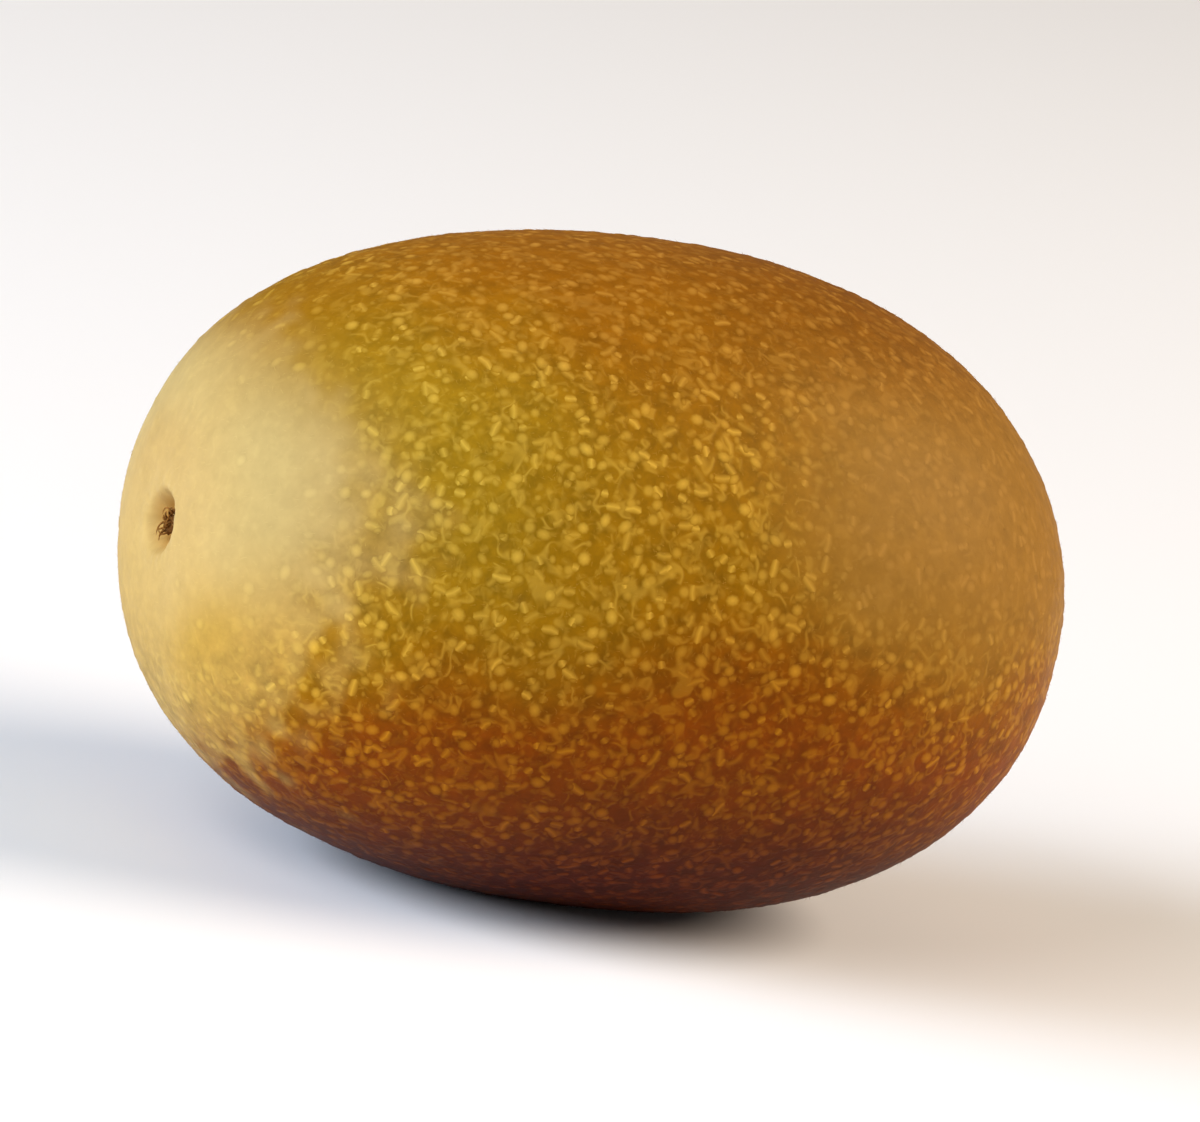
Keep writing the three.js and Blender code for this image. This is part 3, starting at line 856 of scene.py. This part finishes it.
# Callus cork, torn and dried: matt and tan with reddish fibres, paler on the pit's lip where it is
# thick, and dark brown down in the pit and along the torn edge. Its fibres are 0.2 mm apart, its
# mottling is 0.6 mm across and its crumbs are 0.2 mm.
SCAR_COLOURS = {
    "plain": "#B47C42",
    "worn": "#C6945A",
    "lipped": "#CCAE70",
    "inside": "#7A4E1E",
    "torn_edge": "#8E5A28",
}


CORK_MOTTLES_PER_MM, CORK_CRUMBS_PER_MM = 1.6, 5.0
CORK_RELIEF = 0.12  # how high the crumbs stand in the bump


def mottled_colour(tree, colours, noise, darkest, palest):
    """The zones' colours times a share that goes from the darkest to the palest while the noise goes
    from 0.3 to 0.7, where nearly all of it lies."""
    sockets = {"Value": noise, "From Min": 0.3, "From Max": 0.7, "To Min": darkest, "To Max": palest}
    share = add_node(tree, "ShaderNodeMapRange", sockets).outputs["Result"]
    sockets = {0: valued_colour(tree, colours), "Scale": share}
    return add_node(tree, "ShaderNodeVectorMath", sockets, operation="SCALE").outputs["Vector"]


def callus_cork():
    """The scar's colours, mottled by slow noise, and a bump of fine crumbs."""
    material, tree, place = new_finish("stem_scar_cork_torn")
    sockets = {"Vector": place, "Scale": CORK_MOTTLES_PER_MM, "Detail": 4, "Roughness": 0.7}
    mottles = add_node(tree, "ShaderNodeTexNoise", sockets).outputs["Fac"]
    colour = mottled_colour(tree, SCAR_COLOURS, mottles, 0.7, 1.25)
    sockets = {"Vector": place, "Scale": CORK_CRUMBS_PER_MM, "Detail": 3, "Roughness": 0.7}
    crumbs = add_node(tree, "ShaderNodeTexNoise", sockets).outputs["Fac"]
    sockets = {"Height": crumbs, "Distance": CORK_RELIEF * MM, "Strength": 0.9}
    normal = add_node(tree, "ShaderNodeBump", sockets).outputs["Normal"]
    set_surface(tree, colour, Normal=normal, Roughness=0.8, IOR=1.45, Specular_IOR_Level=0.2)
    return material


stem_scar.data.materials.append(callus_cork())


# ---------------------------------------------------------------------------------------------
# The withered styles
#
# The flower's styles, dried to a tuft of curled brown threads in the blossom end's pit. They grew
# there in a ring, on a low pad of the same dry tissue.

PIT_FLOOR = BLOSSOM["reach"] - DIMPLE_DEPTH - PIT_DEPTH
PAD_GAP, PAD_RADIUS, PAD_HEIGHT, PAD_SIDES = 0.3, 0.92, 0.45, 36
PAD_LEVELS, PAD_GIRTHS = (0, 0.05, 0.5, 0.9, 0.97, 1), (0, 0.95, 1, 0.75, 0.4, 0)
PAD_TORN = 0.22  # how far the pad is drawn in and out, as a share of its size
PAD_TEAR_WIDTH = 0.5
STYLES, STYLE_STATIONS, STYLE_SIDES = 17, 9, 6
STYLE_RADIUS, STYLE_TAPER, STYLE_FLAT = 0.12, 0.65, 0.7
STYLE_LENGTHS = (0.8, 1.4)
STYLE_CURLS = (0.2, 0.75)  # the share of its length that a thread's tip comes back down
STYLE_SWIRL = 1.6  # how far a tip turns about the fruit's axis at most, in radians
STYLE_BOW = 0.75  # how far a tip bows outwards, as a share of its length times its curl
ROOTS_FROM, ROOTS_SPREAD, ROOTS_HEIGHT = 0.12, 0.5, 0.25
TUFT_HEIGHT = 0.9
TUFT_OVAL, TUFT_TURNED = 0.55, math.radians(115)  # how much it is drawn out, and towards where


def in_pit(height, radius, turn):
    """A place in the pit: so far out of the fruit from the pad's underside, at this radius and turn
    about the fruit's axis."""
    out = -PIT_FLOOR - PAD_GAP - height + 0 * turn
    return np.stack([out, radius * np.cos(turn), radius * np.sin(turn)], axis=-1) + AXIS_PLACE


random = np.random.default_rng(71)
number = np.arange(STYLES)[:, None]
on = np.linspace(0, 1, STYLE_STATIONS)
length = random.uniform(*STYLE_LENGTHS, (STYLES, 1))
curl = random.uniform(*STYLE_CURLS, (STYLES, 1))
root_radius = ROOTS_FROM + ROOTS_SPREAD * np.sqrt(number / STYLES)
swirl = random.uniform(-STYLE_SWIRL, STYLE_SWIRL, (STYLES, 1))
height = ROOTS_HEIGHT + np.minimum(TUFT_HEIGHT, length * (on - curl * on * on))
style_turn = number * GOLDEN_ANGLE + swirl * on * on
out = root_radius + STYLE_BOW * length * on * on * curl
out = out * (1 + TUFT_OVAL * np.cos(2 * (style_turn - TUFT_TURNED)))
middles = in_pit(height, out, style_turn)
onward = np.gradient(middles, axis=1)
onward /= np.linalg.norm(onward, axis=-1, keepdims=True)
second = np.cross(onward, [0.0, 0.0, 1.0])
second /= np.linalg.norm(second, axis=-1, keepdims=True)
first = np.cross(second, onward)
thick = STYLE_RADIUS * (1 - STYLE_TAPER * on)[:, None]
style_points, style_triangles = spindles(
    middles, first * thick, STYLE_FLAT * second * thick, STYLE_SIDES
)

pad_heights = PAD_HEIGHT * np.array([PAD_LEVELS])
pad_radii = PAD_RADIUS * np.array(PAD_GIRTHS)[:, None]
pad_middles = in_pit(pad_heights, 0 * pad_heights, 0 * pad_heights)
pad_first, pad_second = (np.array([[side]]) * pad_radii for side in ((0, 0, 1), (0, 1, 0)))
pad_points, pad_triangles = spindles(pad_middles, pad_first, pad_second, PAD_SIDES)
pad_middle = pad_middles.mean(axis=(0, 1))
torn = 1 + PAD_TORN * lattice_noise(pad_points / PAD_TEAR_WIDTH, 72)
pad_points = pad_middle + (pad_points - pad_middle) * torn[:, None]

points = np.concatenate([style_points, pad_points])
triangles = np.concatenate([style_triangles, pad_triangles + len(style_points)])
above_pad = -PIT_FLOOR - PAD_GAP + AXIS_PLACE[0] - points[:, 0]
values = {"bleached": rise(0.4, 1.0, above_pad)}
styles = grown_piece("withered_style_threads", points, triangles, values)
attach(styles, "root")
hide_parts("withered_styles")

# Dry plant threads: shrivelled and matt, dark brown at the root and faded tan towards the tip, with
# a wrinkled bump. The wrinkles are 0.2 mm apart.
STYLE_COLOURS = {"plain": "#5E380E", "bleached": "#8A5A22"}
WRINKLES_PER_MM, WRINKLE_RELIEF = 6.0, 0.06


def dry_threads():
    """The threads' colours, mottled by fine noise, which is their wrinkles' bump too."""
    material, tree, place = new_finish("withered_styles_dry")
    sockets = {"Vector": place, "Scale": WRINKLES_PER_MM, "Detail": 3, "Roughness": 0.7}
    wrinkles = add_node(tree, "ShaderNodeTexNoise", sockets).outputs["Fac"]
    colour = mottled_colour(tree, STYLE_COLOURS, wrinkles, 0.6, 1.4)
    sockets = {"Height": wrinkles, "Distance": WRINKLE_RELIEF * MM, "Strength": 0.9}
    normal = add_node(tree, "ShaderNodeBump", sockets).outputs["Normal"]
    set_surface(tree, colour, Normal=normal, Roughness=0.85, IOR=1.45, Specular_IOR_Level=0.15)
    return material


styles.data.materials.append(dry_threads())


# ---------------------------------------------------------------------------------------------
# The floor, the lights and the camera
#
# A plain pale floor in soft light: a cool window and a soft box at the left, a warm soft box at the
# right, and the even light of a pale room.

FLOOR_SIZE = 2.4  # metres
floor_mesh = bpy.data.meshes.new("floor")
half = FLOOR_SIZE / 2
corners = [(-half, -half, 0), (half, -half, 0), (half, half, 0), (-half, half, 0)]
floor_mesh.from_pydata(corners, [], [(0, 1, 2, 3)])
floor = bpy.data.objects.new("floor", floor_mesh)
bpy.context.scene.collection.objects.link(floor)
floor_finish, floor_tree, _ = new_finish("floor_matt_white")
set_surface(floor_tree, paint("#F0EEEB"), Roughness=0.9)
floor_mesh.materials.append(floor_finish)

FRUIT_MIDDLE = (0.0, 0.0, 0.5 * HEIGHT * MM)


def from_middle(azimuth, elevation, distance):
    """The place at an azimuth and elevation round the fruit, in degrees, and a distance in metres.
    Azimuth 0 is in front of the fruit, at -Y, and 90 at its stem end, at +X."""
    a, e = math.radians(azimuth), math.radians(elevation)
    towards = np.array([math.sin(a) * math.cos(e), -math.cos(a) * math.cos(e), math.sin(e)])
    return np.array(FRUIT_MIDDLE) + distance * towards


def aimed(thing, place, roll=0.0):
    """Puts a light or camera at a place, facing the middle of the fruit, turned about its own view by
    the roll in degrees."""
    towards = Vector(FRUIT_MIDDLE) - Vector(place)
    turned = towards.to_track_quat("-Z", "Y").to_matrix().to_4x4()
    thing.matrix_world = Matrix.Translation(place) @ turned @ Matrix.Rotation(math.radians(roll), 4, "Z")
    bpy.context.scene.collection.objects.link(thing)


# name, azimuth, elevation, distance in metres, size in metres, watts, colour
SOFT_BOXES = (
    ("window_left", -97, 18, 1.1, 0.6, 17.0, "#D0E4FF"),
    ("soft_box_left", -70, 32, 1.1, 0.85, 7.0, "#FAFCFF"),
    ("soft_box_right", 72, 36, 1.2, 0.8, 15.5, "#FFEEDA"),
)
for name, azimuth, elevation, distance, size, watts, tint in SOFT_BOXES:
    light = bpy.data.lights.new(name, "AREA")
    light.shape = "DISK"
    light.size = size
    light.energy = watts
    light.color = paint(tint)[:3]
    aimed(bpy.data.objects.new(name, light), from_middle(azimuth, elevation, distance))

# The room lights the fruit dimly, and is seen as pale as the floor.
ROOM_LIGHT, ROOM_SEEN = 0.16, 0.9
world = bpy.data.worlds.new("pale_room")
world.use_nodes = True
room = world.node_tree
seen = add_node(room, "ShaderNodeLightPath").outputs["Is Camera Ray"]
strength = add_node(room, "ShaderNodeMapRange", {"Value": seen, "To Min": ROOM_LIGHT, "To Max": ROOM_SEEN})
room.links.new(strength.outputs["Result"], room.nodes["Background"].inputs["Strength"])
room.nodes["Background"].inputs["Color"].default_value = paint("#F6F6F8")
bpy.context.scene.world = world
bpy.context.scene.view_settings.view_transform = "Standard"

CAMERA_AZIMUTH = -25.6
CAMERA_ELEVATION = 12.0
CAMERA_ROLL = 12.3
CAMERA_DISTANCE = 0.75
CAMERA_LENS = 300.0
camera_data = bpy.data.cameras.new("camera")
camera_data.lens = CAMERA_LENS
camera_data.clip_end = 20
camera = bpy.data.objects.new("camera", camera_data)
aimed(camera, from_middle(CAMERA_AZIMUTH, CAMERA_ELEVATION, CAMERA_DISTANCE), CAMERA_ROLL)
bpy.context.scene.camera = camera
